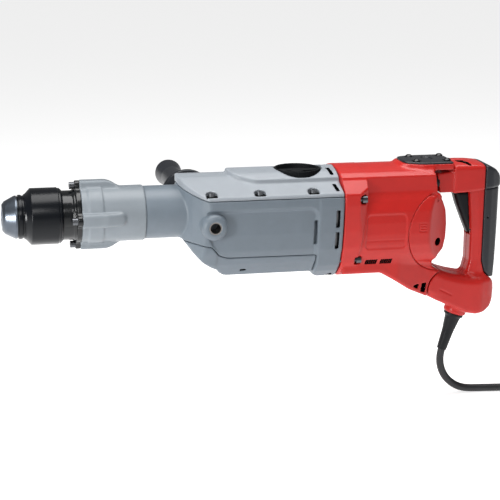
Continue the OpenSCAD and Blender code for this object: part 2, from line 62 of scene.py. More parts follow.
# Places
KNOB = (169, 0)
KNOB_HOLE_R = 29.8
COVER_SCREWS = [(x, side * 49.5) for x in (54, 112, 177) for side in (-1, 1)]
PLATE_SCREWS = [(x, side * 15) for x in (316, 355.5) for side in (-1, 1)]
BOSS = (56, -8)
BOSS_R = 15.6
BOSS_REACH = 66.4
BOSS_BORE_R = 7.3
SCREW_POCKET_R = 6.8
CAP_CENTRE = (350, -30)
CAP_R = 52.5
CAP_MARK = (315.6, -21)
HANDLE_GAP = 1.85
VENT_STARTS = (246.6, 265.6)
VENT_PITCH = 2.5
VENTS_EACH = 6
EXIT = Vector((379, 0, -147))
EXIT_TILT = math.radians(17)
FLOOR_Z = -255.2
CORD_D = 9.6
COIL_CENTRE = (562, 72.4)
COIL_RADII = (72.4, 62.8, 53.2, 43.6)


# ---------------------------------------------------------------- camera

def add_camera():
    eye = Vector((-0.2805, -1.7277, 0.4054))
    target = Vector((0.112, 0, -0.0528))
    roll = math.radians(0.62)
    look = (target - eye).normalized()
    level = look.cross(Vector((0, 0, 1))).normalized()
    above = level.cross(look)
    right = level * math.cos(roll) + above * math.sin(roll)
    up = above * math.cos(roll) - level * math.sin(roll)
    camera = bpy.data.objects.new("camera", bpy.data.cameras.new("camera"))
    camera.data.lens = 108
    camera.data.sensor_width = 36
    camera.matrix_world = Matrix.Translation(eye) @ Matrix((right, up, -look)).transposed().to_4x4()
    bpy.context.scene.collection.objects.link(camera)
    bpy.context.scene.camera = camera


add_camera()


# ---------------------------------------------------------------- materials

def node(tree, kind, **settings):
    made = tree.nodes.new(kind)
    for name, value in settings.items():
        made.inputs[name].default_value = value
    return made


def noise(tree, scale, detail=4.0, rough=0.55, stretch=(1, 1, 1)):
    place = tree.nodes.new("ShaderNodeTexCoord")
    mapping = tree.nodes.new("ShaderNodeMapping")
    mapping.inputs["Scale"].default_value = stretch
    made = node(tree, "ShaderNodeTexNoise", Scale=scale, Detail=detail, Roughness=rough)
    tree.links.new(place.outputs["Object"], mapping.inputs["Vector"])
    tree.links.new(mapping.outputs["Vector"], made.inputs["Vector"])
    return made.outputs["Fac"]


def spread(tree, value, low, high, start=0.3, end=0.7):
    made = node(tree, "ShaderNodeMapRange")
    for name, number in (("From Min", start), ("From Max", end), ("To Min", low), ("To Max", high)):
        made.inputs[name].default_value = number
    tree.links.new(value, made.inputs["Value"])
    return made.outputs["Result"]


def tint(tree, value, dark, light):
    ramp = tree.nodes.new("ShaderNodeValToRGB")
    ramp.color_ramp.elements[0].position = 0.3
    ramp.color_ramp.elements[1].position = 0.7
    ramp.color_ramp.elements[0].color = (*dark, 1)
    ramp.color_ramp.elements[1].color = (*light, 1)
    tree.links.new(value, ramp.inputs["Fac"])
    return ramp.outputs["Color"]


def finish(name, colour, rough, metal=0.0, vary=0.06, grain=900, depth=0.00006, strength=0.5,
           patch=60, coat=0.0, stretch=(1, 1, 1), specular=0.5):
    """A procedural finish: mottled colour, uneven gloss and a fine relief of the given grain per metre."""
    made = bpy.data.materials.new(name)
    made.use_nodes = True
    tree = made.node_tree
    shader = tree.nodes["Principled BSDF"]
    shader.inputs["Metallic"].default_value = metal
    shader.inputs["Coat Weight"].default_value = coat
    shader.inputs["Coat Roughness"].default_value = 0.08
    shader.inputs["Specular IOR Level"].default_value = specular
    dark = [c * (1 - vary) for c in colour]
    light = [min(1, c * (1 + vary)) for c in colour]
    broad = noise(tree, patch, 5, 0.6, stretch)
    fine = noise(tree, grain, 3, 0.5, stretch)
    tree.links.new(tint(tree, broad, dark, light), shader.inputs["Base Color"])
    tree.links.new(spread(tree, fine, rough * 0.88, rough * 1.12), shader.inputs["Roughness"])
    bump = node(tree, "ShaderNodeBump", Strength=strength, Distance=depth)
    tree.links.new(fine, bump.inputs["Height"])
    tree.links.new(bump.outputs["Normal"], shader.inputs["Normal"])
    return made


# One grey cast paint in lit and shaded copies: the paler copy on the top cover is painted light from above,
# the front casting's copy is half lit, and the darker copy on the gear case and lower cover is painted shade.
shaded_cast_grey = finish("cast_grey_shaded_copy", (0.152, 0.184, 0.216), 0.4, vary=0.04, grain=1400, depth=0.00008)
half_lit_cast_grey = finish("cast_grey_half_lit_copy", (0.215, 0.243, 0.268), 0.38, vary=0.04, grain=1400, depth=0.00008)
lit_cast_grey = finish("cast_grey_lit_copy", (0.30, 0.328, 0.36), 0.38, vary=0.04, grain=1400, depth=0.00008)
red_plastic = finish("red_plastic", (0.54, 0.016, 0.012), 0.33, specular=0.45, vary=0.05, grain=1700,
                     depth=0.00005)
black_plastic = finish("black_plastic", (0.006, 0.007, 0.009), 0.4, grain=1700, depth=0.00006, specular=0.25)
black_rubber = finish("black_rubber", (0.014, 0.016, 0.021), 0.36, vary=0.12, grain=1200, depth=0.0001,
                      specular=0.5)
sleeve_black = finish("sleeve_black", (0.003, 0.004, 0.006), 0.24, vary=0.1, grain=700, stretch=(1, 6, 6),
                      specular=0.28)
nose_black = finish("nose_black", (0.11, 0.128, 0.155), 0.34, metal=0.9, vary=0.15, grain=500,
                    depth=0.00003, coat=0.3)
gloss_black = finish("gloss_black", (0.004, 0.005, 0.006), 0.18, vary=0.1, grain=500, depth=0.00003)
knob_black = finish("knob_black", (0.004, 0.005, 0.006), 0.5, grain=1500, specular=0.12)
steel = finish("ground_steel", (0.55, 0.56, 0.58), 0.3, metal=1.0, grain=900, stretch=(1, 8, 8))
warm_steel = finish("insert_steel", (0.32, 0.3, 0.28), 0.3, metal=1.0, grain=900)
oxide = finish("black_oxide_steel", (0.13, 0.135, 0.145), 0.28, metal=1.0, grain=1200)
cast_metal = finish("cast_metal", (0.33, 0.34, 0.35), 0.5, metal=0.9, grain=800, depth=0.00015)
gear_steel = finish("gear_steel", (0.3, 0.3, 0.31), 0.38, metal=1.0, grain=900)
copper = finish("copper", (0.75, 0.33, 0.18), 0.3, metal=1.0, grain=1500)
carbon = finish("carbon", (0.03, 0.03, 0.033), 0.6, grain=1500)
cord_rubber = finish("cord_rubber", (0.014, 0.015, 0.017), 0.48, vary=0.15, grain=900, depth=0.00012)
shadow = finish("shadow_black", (0.003, 0.003, 0.004), 0.8, grain=900, specular=0.1)

NODE_FINISHES = {
    steel: ["tool_holder", "cylinder_tube", "lock_roller_top", "lock_roller_bottom", "impact_bolt", "ram",
            "wrist_pin", "spindle_bearings", "side_handle_stud", "crankshaft", "shaft_bearings",
            "motor_bearings", "armature_shaft", "guide_rods", "sleeve_spring"],
    warm_steel: ["boss_inserts"],
    oxide: ["flange_screws", "cover_screws", "housing_screws"],
    cast_metal: ["piston", "con_rod", "gear_frame", "bearing_plate"],
    gear_steel: ["spindle_gear", "crank_gear", "jack_shaft", "jack_gear", "armature_core", "stator_core"],
    copper: ["commutator", "field_coils"],
    carbon: ["carbon_brushes"],
    black_plastic: ["fan", "brush_holders", "damper_rings", "switch_body", "trigger_pin"],
    gloss_black: ["front_ring", "plate_screws"],
}


def finish_cad_nodes():
    for material, names in NODE_FINISHES.items():
        for name in names:
            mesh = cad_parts[name].data
            mesh.materials.clear()
            mesh.materials.append(material)


finish_cad_nodes()


# ---------------------------------------------------------------- distance fields, in millimetres

def spaced(low, high, step, fine):
    """Sample places from low to high, closer together inside each fine stretch (start, end, step)."""
    places = [low]
    while places[-1] < high:
        near = [s for a, b, s in fine if a - s <= places[-1] < b]
        places.append(places[-1] + min([step] + near))
    return np.array(places, np.float32)


class Block:
    """A block of sample places from a low to a high corner."""

    def __init__(self, low, high, step, fine_x=(), fine_y=(), fine_z=()):
        margin = 2 * step
        fine = (fine_x, fine_y, fine_z)
        self.axes = [spaced(low[i] - margin, high[i] + margin, step, fine[i]) for i in range(3)]
        self.x, self.y, self.z = np.ix_(*self.axes)


def rounded(points, steps=5):
    """An outline whose corners (x, y, r) are turned into arcs of radius r; a corner (x, y) stays sharp."""
    out = []
    count = len(points)
    for i, corner in enumerate(points):
        here = np.array(corner[:2], float)
        if len(corner) < 3:
            out.append(tuple(here))
            continue
        before = np.array(points[i - 1][:2], float) - here
        after = np.array(points[(i + 1) % count][:2], float) - here
        reach_before, reach_after = np.linalg.norm(before), np.linalg.norm(after)
        before, after = before / reach_before, after / reach_after
        half = math.acos(np.clip(before @ after, -1, 1)) / 2
        reach = min(corner[2] / math.tan(half), 0.49 * reach_before, 0.49 * reach_after)
        middle = here + (before + after) / np.linalg.norm(before + after) * reach / math.cos(half)
        start, end = here + before * reach, here + after * reach
        radius = np.linalg.norm(start - middle)
        for k in range(steps + 1):
            chord = (start + (end - start) * k / steps) - middle
            out.append(tuple(middle + chord / np.linalg.norm(chord) * radius))
    return out


def outline(points, u, v):
    """Distance to a closed outline in a plane, negative inside."""
    points = rounded(points)
    nearest = None
    inside = np.zeros(np.broadcast_shapes(u.shape, v.shape), bool)
    for (ax, ay), (bx, by) in zip(points, points[1:] + points[:1]):
        ex, ey = bx - ax, by - ay
        long = ex * ex + ey * ey
        if long < 1e-9:
            continue
        t = np.clip(((u - ax) * ex + (v - ay) * ey) / long, 0, 1)
        d = (u - ax - ex * t) ** 2 + (v - ay - ey * t) ** 2
        nearest = d if nearest is None else np.minimum(nearest, d)
        if abs(ey) > 1e-9:
            inside ^= ((ay > v) != (by > v)) & (u < ex * (v - ay) / ey + ax)
    return np.where(inside, -1.0, 1.0) * np.sqrt(nearest)


def meet(a, b, r=0.0):
    """What is in both, with the edge between them rounded to r."""
    if r <= 0:
        return np.maximum(a, b)
    corner = np.sqrt(np.maximum(a + r, 0) ** 2 + np.maximum(b + r, 0) ** 2)
    return np.minimum(-r, np.maximum(a, b)) + corner


def join(a, b, r=0.0):
    """What is in either, with a fillet of r between them."""
    return -meet(-a, -b, r)


def cut(a, b, r=0.0):
    """What is in a and not in b."""
    return meet(a, -b, r)


def groove(f, seam, width, depth):
    """f with a channel of that width and depth along the surface where seam is zero."""
    return cut(f, meet(np.abs(seam) - width / 2, -depth - f), 0.2)


def bar(u, low, high):
    return np.maximum(low - u, u - high)


def rod(u, v, centre, r):
    """An endless round rod across the plane of u and v."""
    return np.hypot(u - centre[0], v - centre[1]) - r


def capsule(u, v, start, end, r):
    """A round-ended bar in the plane of u and v."""
    ex, ey = end[0] - start[0], end[1] - start[1]
    t = np.clip(((u - start[0]) * ex + (v - start[1]) * ey) / (ex * ex + ey * ey), 0, 1)
    return np.hypot(u - start[0] - ex * t, v - start[1] - ey * t) - r


def mirrored(half):
    """A whole outline from its right half, which starts and ends on or near the middle plane."""
    return list(half) + [(-p[0], *p[1:]) for p in reversed(half) if p[0] > 0]


# ---------------------------------------------------------------- meshes

LEAST_STEEPNESS = 0.25  # of a field, where points are moved onto its skin
LARGEST_MOVE = 0.4
DARK_MARGIN = 0.25  # how far outside dark a face still counts as in it

def sample(field, block, points):
    """Values of a sampled field at points, by linear steps between the samples."""
    low, share = [], []
    for i, axis in enumerate(block.axes):
        k = np.clip(np.searchsorted(axis, points[:, i]) - 1, 0, len(axis) - 2)
        low.append(k)
        share.append((points[:, i] - axis[k]) / (axis[k + 1] - axis[k]))
    total = 0
    for corner in np.ndindex(2, 2, 2):
        weight = 1
        for i in range(3):
            weight = weight * (share[i] if corner[i] else 1 - share[i])
        total = total + weight * field[low[0] + corner[0], low[1] + corner[1], low[2] + corner[2]]
    return total


def surface(block, f):
    """The skin of a distance field: its points, their normals and its four-sided faces."""
    inside = f < 0
    count = sum(inside[a:a - 1 or None, b:b - 1 or None, c:c - 1 or None].astype(np.int8)
                for a, b, c in np.ndindex(2, 2, 2))
    active = (count > 0) & (count < 8)
    cells = np.argwhere(active)
    number = np.full(active.shape, -1, np.int32)
    number[active] = np.arange(len(cells))
    total = np.zeros((len(cells), 3))
    hits = np.zeros(len(cells))
    quads = []
    for axis in range(3):
        others = [i for i in range(3) if i != axis]
        for a, b in np.ndindex(2, 2):
            start = cells.copy()
            start[:, others[0]] += a
            start[:, others[1]] += b
            end = start.copy()
            end[:, axis] += 1
            fa, fb = f[tuple(start.T)], f[tuple(end.T)]
            crossing = (fa < 0) != (fb < 0)
            t = np.where(crossing, fa / np.where(crossing, fa - fb, 1), 0)
            place = np.stack([block.axes[i][start[:, i]] for i in range(3)], 1)
            place[:, axis] += t * (block.axes[axis][end[:, axis]] - block.axes[axis][start[:, axis]])
            total += place * crossing[:, None]
            hits += crossing
        first = np.take(inside, range(inside.shape[axis] - 1), axis)
        second = np.take(inside, range(1, inside.shape[axis]), axis)
        for flip, edge in ((0, first & ~second), (1, ~first & second)):
            at = np.argwhere(edge)
            at = at[(at[:, others[0]] > 0) & (at[:, others[1]] > 0)]
            ring = []
            for a, b in ((0, 0), (1, 0), (1, 1), (0, 1)):
                cell = at.copy()
                cell[:, others[0]] -= 1 - a
                cell[:, others[1]] -= 1 - b
                keep = np.minimum(cell, np.array(number.shape) - 1)
                ring.append(number[tuple(keep.T)])
            if (axis == 1) != bool(flip):
                ring.reverse()
            quads.append(np.stack(ring, 1))
    quads = np.concatenate(quads)
    quads = quads[(quads >= 0).all(1)]
    points = total / hits[:, None]
    slopes = np.gradient(f, *block.axes)
    for _ in range(2):
        slope = np.stack([sample(s, block, points) for s in slopes], 1)
        steep = np.maximum((slope ** 2).sum(1), LEAST_STEEPNESS)
        move = (sample(f, block, points) / steep)[:, None] * slope
        points -= np.clip(move, -LARGEST_MOVE, LARGEST_MOVE)
    slope = np.stack([sample(s, block, points) for s in slopes], 1)
    return points, slope / np.maximum(np.linalg.norm(slope, axis=1), 1e-6)[:, None], quads


def place(name, mesh, material, body, slot, nodes):
    mesh.materials.append(material)
    piece = bpy.data.objects.new(name, mesh)
    bpy.context.scene.collection.objects.link(piece)
    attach(piece, body)
    if nodes:
        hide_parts(*nodes)
    return piece


def shell(name, block, f, material, body, slot, *nodes, dark=None):
    """A piece with the skin of a distance field, in place of the CAD nodes named; it is black inside dark."""
    points, normals, quads = surface(block, f)
    mesh = bpy.data.meshes.new(name)
    mesh.from_pydata((points * MM).tolist(), [], quads.tolist())
    mesh.polygons.foreach_set("use_smooth", np.ones(len(quads), bool))
    mesh.normals_split_custom_set_from_vertices(normals.tolist())
    piece = place(name, mesh, material, body, slot, nodes)
    if dark is not None:
        mesh.materials.append(shadow)
        depth = sample(np.broadcast_to(dark, f.shape), block, points[quads].mean(1))
        mesh.polygons.foreach_set("material_index", (depth < DARK_MARGIN).astype(np.int32))
    return piece


def lathe(name, profile, material, body, slot, *nodes, along=(1, 0, 0), centre=(0, 0, 0), steps=96):
    """A piece turned round a line through centre, from (place along it, radius) corners."""
    points = rounded(profile, 6)
    axis = Vector(along)
    side = axis.orthogonal().normalized()
    other = axis.cross(side)
    count = len(points)
    verts = []
    for k in range(steps):
        a = 2 * math.pi * k / steps
        out = side * math.cos(a) + other * math.sin(a)
        verts += [(Vector(centre) + axis * t + out * r) * MM for t, r in points]
    faces = []
    for k in range(steps):
        here, there = k * count, ((k + 1) % steps) * count
        for i in range(count):
            after = (i + 1) % count
            faces.append((here + i, there + i, there + after, here + after))
    mesh = bpy.data.meshes.new(name)
    mesh.from_pydata(verts, [], faces)
    mesh.validate()
    mesh.polygons.foreach_set("use_smooth", np.ones(len(mesh.polygons), bool))
    mesh.set_sharp_from_angle(angle=math.radians(28))
    return place(name, mesh, material, body, slot, nodes)


# ---------------------------------------------------------------- cord, boot, plug and tie

def along_exit(distance):
    return EXIT + Vector((-math.sin(EXIT_TILT), 0, -math.cos(EXIT_TILT))) * distance


# The route from the end of the boot, with the part's own points as far as x = 495. The last three lead
# into the first turn of the coil, which is a closed ring in the part.
ROUTE = [(364.4, 0, -194.8), (362.5, 0, -207.5), (364.5, 0, -220.5), (370.5, 0, -232.5), (380, 0, -242),
         (392, -0.5, -248.5), (405.5, -1, -250.4), (424, -3, -250.4), (446, -6, -250.4), (470, -7, -250.4),
         (495, -5, -250.4), (522, -2.5, -250.4), (544, -0.5, -250.4), (562, 0, -250.4)]


def coil_turns(turns=10.2, per_turn=24):
    """The wound stretch: turns beside each other, inwards, outwards, and inwards again on top."""
    order = [(r, 0) for r in COIL_RADII] + [(r, 1) for r in COIL_RADII[::-1]] + [(r, 2) for r in COIL_RADII]
    shift = 0.12
    points = []
    for step in range(1, int(turns * per_turn) + 1):
        turn = step / per_turn
        here = order[int(turn)]
        before = order[max(int(turn) - 1, 0)]
        share = min((turn % 1) / shift, 1) if turn >= 1 else 1
        share = share * share * (3 - 2 * share)
        r = before[0] + (here[0] - before[0]) * share
        layer = before[1] + (here[1] - before[1]) * share
        a = 2 * math.pi * (turn - 0.25)
        points.append((COIL_CENTRE[0] + r * math.cos(a), COIL_CENTRE[1] + r * math.sin(a),
                       FLOOR_Z + CORD_D * (layer + 0.5)))
    return points


def build_cord():
    inside = [tuple(along_exit(d)) for d in (2, 14, 26, 38)]
    tail = [(618, 101, -221), (605, 118, -212.5), (594, 127, -209.8), (584, 130.2, -209.3),
            (574, 130.4, -209.3)]
    points = inside + ROUTE + coil_turns() + tail
    curve = bpy.data.curves.new("mains_cord", "CURVE")
    curve.dimensions = "3D"
    curve.bevel_depth = CORD_D / 2 * MM
    curve.bevel_resolution = 5
    curve.use_fill_caps = True
    spline = curve.splines.new("NURBS")
    spline.points.add(len(points) - 1)
    for point, (x, y, z) in zip(spline.points, points):
        point.co = (x * MM, y * MM, z * MM, 1)
    spline.order_u = 3
    spline.use_endpoint_u = True
    spline.resolution_u = 3
    cord = bpy.data.objects.new("mains_cord", curve)
    curve.materials.append(cord_rubber)
    bpy.context.scene.collection.objects.link(cord)
    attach(cord, "rear_handle")
    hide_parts("cord_run", "cord_coil")
    return cord


def build_boot():
    profile = [(0, 0), (0, 12.4, 1), (3, 12.4, 1.5), (4.5, 10.4, 1)]
    profile += [(7, 9.6, 3), (24, 7.4, 20), (50, 6.1, 1.2), (50, 0)]
    direction = (along_exit(1) - EXIT).normalized()
    return lathe("cord_boot", profile, black_plastic, "rear_handle", "black_rubber", "strain_relief",
                 along=direction, centre=EXIT, steps=48)


def build_plug():
    block = Block((514, 110, -230), (592, 150, -188), 0.9)
    x, y, z = block.x - 536, block.y - 130.4, block.z + 209.3
    body_plan = [(0, -19, 3), (30, -17.5, 10), (44, -8, 8), (54, -6.6, 1), (54, 6.6, 1), (44, 8, 8),
                 (30, 17.5, 10), (0, 19, 3)]
    body_side = [(0, -15, 3), (30, -14, 8), (46, -7, 8), (54, -6.6, 1), (54, 6.6, 1), (46, 7, 8),
                 (30, 14, 8), (0, 15, 3)]
    f = meet(outline(body_plan, x, y), outline(body_side, x, z), 6)
    for ring in (35, 39, 43, 47, 51):
        f = cut(f, meet(np.abs(x - ring) - 0.9, 5.9 - np.hypot(y, z)), 0.3)
    for side in (-9.5, 9.5):
        f = join(f, meet(np.hypot(y - side, z) - 2.4, bar(x, -19, 2), 1))
    return shell("mains_plug", block, f, black_rubber, "rear_handle", "black_rubber", "plug")


def build_tie():
    """A strap wrapped once round the coil's turns."""
    inner, outer = COIL_RADII[-1] - 6.2, COIL_RADII[0] + 6.2
    low, high = FLOOR_Z + 0.2, FLOOR_Z + 3 * CORD_D + 1.6
    ring = rounded([(inner, low, 4), (outer, low, 4), (outer, high, 5), (inner, high, 5)], 6)
    a = math.radians(205)
    out = Vector((math.cos(a), math.sin(a), 0))
    across = Vector((-math.sin(a), math.cos(a), 0))
    verts, faces = [], []
    centre = Vector((*COIL_CENTRE, 0))
    rows = [(-8, 0.0), (-7.2, 0.7), (7.2, 0.7), (8, 0.0)]
    middle = ((inner + outer) / 2, (low + high) / 2)
    for r, z in ring:
        away = Vector((r - middle[0], z - middle[1])).normalized()
        for w, lift in rows:
            height = Vector((0, 0, z + away[1] * lift))
            verts.append((centre + out * (r + away[0] * lift) + across * w + height) * MM)
    count, width = len(ring), len(rows)
    for i in range(count):
        for j in range(width - 1):
            here, there = i * width + j, ((i + 1) % count) * width + j
            faces.append((here, there, there + 1, here + 1))
    mesh = bpy.data.meshes.new("cord_tie")
    mesh.from_pydata(verts, [], faces)
    mesh.polygons.foreach_set("use_smooth", np.ones(len(faces), bool))
    return place("cord_tie", mesh, black_rubber, "rear_handle", "black_rubber", ())


boot = build_boot()
plug = build_plug()
tie = build_tie()
build_cord()


# ---------------------------------------------------------------- nose and barrel

def build_dust_cap():
    profile = [(-186, 9.7, 1), (-186, 15.5, 2.5), (-183, 19.2, 3), (-171, 25.4, 1.5),
               (RING_X + 0.4, 25.4, 0.8), (RING_X + 0.4, 23.5), (RING_X, 13.6), (-181, 13.6), (-181, 9.7)]
    return lathe("nose_cap", profile, nose_black, "spindle", "black_steel", "dust_cap", "front_ring")


def build_nose_ring():
    profile = [(RING_X + 0.4, 13.6), (RING_X + 0.4, 24.4), (-167.6, 24.4), (-167.2, 26.2, 0.7),
               (-163.4, 26.2, 0.7), (-162.6, 25.2, 0.5), (SLEEVE_X, 25.2), (SLEEVE_X, 13.6)]
    return lathe("nose_ring", profile, sleeve_black, "spindle", "black_steel")


def build_sleeve():
    profile = [(-160.7, 17.4), (-160.7, 26.2, 0.8), (-158.5, 27.2, 1), (-152.8, 33.5, 1.5),
               (-121.5, 33.5, 0.8), (-120.5, 32.6, 0.6), (-118.6, 32.6, 0.6), (-116.2, 30.4, 0.6),
               (-116.2, 29.7), (-154, 29.7), (-154, 17.4)]
    return lathe("lock_sleeve", profile, sleeve_black, "sleeve", "black_steel", "chuck_sleeve", steps=128)


def build_flange():
    block = Block((-118, -43, -43), (-94, 43, 43), 0.9, fine_x=[(-104, -94, 0.5)])
    x, y, z = block.x, block.y, block.z
    round_r = np.hypot(y, z)
    f = meet(round_r - 29.3, bar(x, -117.5, -97), 0.6)
    f = join(f, meet(round_r - 30.6, bar(x, -104, -97), 1.5), 1)
    plate = round_r - 33.3
    for cy, cz in ((0, 35), (0, -35), (35, 0), (-35, 0)):
        plate = join(plate, rod(y, z, (cy, cz), 6.4), 5)
    f = join(f, meet(plate, bar(x, FLANGE_X, FLANGE_BACK), 1.0), 0.8)
    f = cut(f, round_r - 23.4)
    for side in (-1, 1):
        f = cut(f, meet(meet(bar(x, -114, -106), np.abs(z + 8) - 1.0), side * -y + 28.0), 0.3)
    return shell("lobed_flange", block, f, gloss_black, "hammer_body", "black_steel", "retainer_flange")


def build_front_housing():
    block = Block((-95, -45, -45), (-19, 45, 45), 1.0)
    x, y, z = block.x, block.y, block.z
    round_r = np.hypot(y, z)
    f = meet(round_r - 33.1, bar(x, FLANGE_BACK, NECK_X + 0.1), 0.8)
    f = join(f, meet(round_r - 34.3, bar(x, -86.5, -70), 0.9), 2)
    droop = 41.4 - np.maximum(x + 68, 0) ** 2 / 42
    for z_side in (-1, 1):
        boss = meet(capsule(y, x, (0, -110), (0, -52), 7.2), z_side * z - droop, 3)
        boss = meet(meet(boss, -z_side * z + 20), FLANGE_BACK - x, 0.6)
        f = join(f, boss, 3.5)
        near_top = z_side * y - 40.5 + np.maximum(x + 66, 0) * 0.2
        near = meet(capsule(z, x, (0, -110), (0, -51.5), 8.0), near_top, 4.5)
        near = meet(meet(near, -z_side * y + 20), FLANGE_BACK - x, 0.6)
        f = join(f, near, 2.5)
    f = cut(f, round_r - 27)
    # The front casting takes the half-lit copy of the one grey paint, a painted light level.
    return shell("front_casting", block, f, half_lit_cast_grey, "hammer_body", "light_grey_cast", "front_housing")


# ---------------------------------------------------------------- gear case

FRONT_SECTION = mirrored([(0, 50), (57, 44, 2), (57.8, 24.5), (58.6, 12, 10), (57.6, -3, 20), (55.6, -21, 30),
                          (52.2, -42, 20), (44.3, -58, 16), (34.5, -69, 1.5), (28.5, -76, 4), (0, -76.6)])
PANEL_SECTION = mirrored([(0, 50), (55, 44), (55, 24), (54.5, 5, 8), (53.1, -21, 30), (50.3, -42, 20),
                          (43.2, -58, 16), (34.5, -69, 1.5), (28.5, -76, 4), (0, -76.6)])
PANEL_SIDE = [(39.6, 9.5, 1), (181.5, 9.5, 10), (181.5, -110), (60, -110), (60, -41), (54, -31.5, 20),
              (47.6, -17)]
REAR_SECTION = mirrored([(0, 50), (57, 44, 2), (57.8, 24.5), (58.8, 11, 12), (58, -3, 20), (56.4, -21, 30),
                         (53, -42, 20), (45, -64, 12), (37, -73, 8), (24.5, -83, 8), (0, -84)])
CASE_SIDE = [(19, -28), (26, -32), (35, -44, 30), (45, -54.5, 30), (55, -62, 20), (64.5, -67), (66, -70, 3),
             (74, -76, 12), (184, -76, 6), (191, -84, 6), (SEAM_X, -84, 2), (SEAM_X, 60), (19, 60)]
CASE_PLAN = [(19.5, 0), (20.5, 10, 10), (25, 24, 30), (33, 38, 40), (43, 51, 20), (53, 60), (SEAM_X, 60),
             (SEAM_X, -60), (53, -60), (43, -51, 20), (33, -38, 40), (25, -24, 30), (20.5, -10, 10)]
SPLIT_LINE = mirrored([(0, 100), (100, 100), (100, 22), (57, 22), (30, 29.5, 30), (0, 36.5)])
COVER_SECTION = mirrored([(0, 44.9), (14, 43.2, 20), (32, 36, 30), (55.8, 26.4, 1.5), (57.2, 24, 1),
                          (57.2, 0), (0, 0)])
BUMP_SECTION = mirrored([(0, 50.2), (18, 47.1, 30), (32, 40.6, 1.6), (32.5, 0), (0, 0)])
LOWER_SIDE = [(0, -29.5), (38, -31.5, 20), (54, -33.5, 6), (64, -45.5, 10), (74, -49.2, 12), (180.5, -50),
              (184.5, -50), (186.5, -100), (0, -100)]


def case_body(x, y, z):
    section = outline(FRONT_SECTION, y, z)
    front = meet(meet(section, outline(CASE_PLAN, x, y), 2.2), outline(CASE_SIDE, x, z), 2.5)
    inner = outline(PANEL_SECTION, y, z)
    panel = meet(-inner, (outline(PANEL_SIDE, x, z) - inner + 2) * 0.9, 0.5)
    front = cut(front, panel, 0.6)
    rear = meet(outline(REAR_SECTION, y, z), bar(x, REAR_X - 3, CASE_END), 3)
    rear = meet(rear, outline([(REAR_X - 3, -79, 5), (REAR_X + 4, -84, 6), (SEAM_X, -84), (SEAM_X, 60),
                               (REAR_X - 3, 60)], x, z), 1.5)
    return join(front, rear, 2.5)


def lower_line(x, z):
    return outline(LOWER_SIDE, x, z)


def build_gear_housing():
    block = Block((-21, -67, -86), (214, 67, 38), 1.25, fine_x=[(176, 184, 0.65), (202, 210, 0.65)],
                  fine_z=[(17, 26, 0.8), (4, 12, 0.8)], fine_y=[(-67, -53, 0.8), (53, 67, 0.8)])
    x, y, z = block.x, block.y, block.z
    wide = np.abs(y)
    f = case_body(x, y, z)
    f = cut(f, outline(SPLIT_LINE, y, z) - 0.8, 0.6)
    below = meet(lower_line(x, z), x - REAR_X + 3)
    f = cut(f, below - 0.2, 0.4)
    f = join(f, meet(np.hypot(y, z) - 31.6, bar(x, NECK_X, 50), 0.5), 1.2)
    stub = np.hypot(x - BOSS[0], z - BOSS[1]) - BOSS_R
    f = join(f, meet(meet(stub, wide - BOSS_REACH, 7.4), 46 - wide), 1.0)
    f = cut(f, meet(rod(x, z, BOSS, BOSS_BORE_R), 44 - wide), 0.4)
    clip = outline([(178.4, -6, 1), (182, -6, 1), (182, -35.5, 1), (178.4, -35.5, 1)], x, z)
    clip = meet(clip, 46 - wide)
    high_vent = outline([(204, 6, 0.6), (208.2, 6, 0.6), (208.2, -15, 0.6), (204, -15, 0.6)], x, z)
    low_vent = outline([(204, -21, 0.6), (208.2, -21, 0.6), (208.2, -42, 0.6), (204, -42, 0.6)], x, z)
    vents = np.minimum(high_vent, low_vent)
    vents = meet(np.minimum(vents, capsule(x, z, (201.5, -82.5), (206, -80), 1.7)), 20 - wide)
    vents = meet(vents, 45 - wide - np.maximum(-60 - z, 0))
    f = cut(f, np.minimum(clip, vents), 0.25)
    f = cut(f, meet(np.hypot(y, z) - 27, x - 30))
    # The gear case takes the darker copy of the one grey paint, which is painted shade.
    return shell("gear_case", block, f, shaded_cast_grey, "hammer_body", "grey_cast", "gear_housing",
                 dark=vents)


def build_lower_cover():
    block = Block((20, -60, -78), (187, 60, -27), 1.2)
    x, y, z = block.x, block.y, block.z
    f = meet(case_body(x, y, z), meet(lower_line(x, z), x - REAR_X + 3) + 0.3, 0.4)
    f = cut(f, np.hypot(y, z) - 31.9, 0.3)
    drain = meet(capsule(x, z, (93, -67.6), (98, -67.4), 1.2), 31 - np.abs(y))
    f = cut(f, drain, 0.3)
    # The lower cover takes the darker copy of the one grey paint, which is painted shade.
    return shell("lower_case", block, f, shaded_cast_grey, "hammer_body", "grey_cast", "lower_cover",
                 dark=drain)


